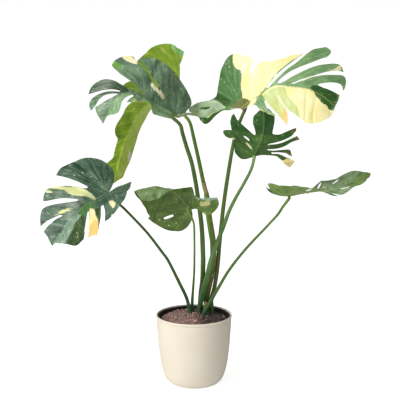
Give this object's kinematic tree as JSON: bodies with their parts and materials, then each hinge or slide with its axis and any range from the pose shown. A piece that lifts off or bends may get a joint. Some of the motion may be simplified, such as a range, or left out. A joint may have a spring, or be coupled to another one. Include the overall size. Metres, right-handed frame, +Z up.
{
  "type": "potted plant",
  "caption": "Variegated split-leaf monstera on long leaf stalks, growing in soil in a dark nursery pot that stands in a round cream cover pot.",
  "frame": {"origin": "centre of the cover pot's base", "axes": "+Z up, +X to the right and -Y toward the viewer, as the picture shows the plant"},
  "size_m": [0.9358, 0.5202, 0.9823],
  "materials": {
    "cover_pot": "cream matt glaze",
    "nursery_pot": "dark moulded polypropylene",
    "soil": "dry peat and coir crumbs with bark chips",
    "stalk": "smooth waxy green stalk",
    "leaf_dark": "waxy grey-green leaf with cream flecks",
    "leaf_lime": "yellow-green leaf underside",
    "leaf_olive": "olive leaf underside",
    "leaf_cream": "cream and green variegated leaf",
    "leaf_deep": "deep green leaf underside"
  },
  "bodies": {
    "root": {"cover_pot": "cover_pot", "nursery_pot": "nursery_pot", "soil": "soil", "crown": "stalk", "stalk_lower_left": "stalk", "stalk_upper_left": "stalk", "stalk_back": "stalk", "stalk_middle": "stalk", "stalk_upper_right": "stalk", "stalk_small": "stalk", "stalk_right": "stalk", "leaf_lower_left": "leaf_dark", "leaf_upper_left": "leaf_dark", "leaf_back": "leaf_lime", "leaf_middle": "leaf_olive", "leaf_upper_right": "leaf_cream", "leaf_small": "leaf_deep", "leaf_right": "leaf_olive"}
  },
  "joints": []
}
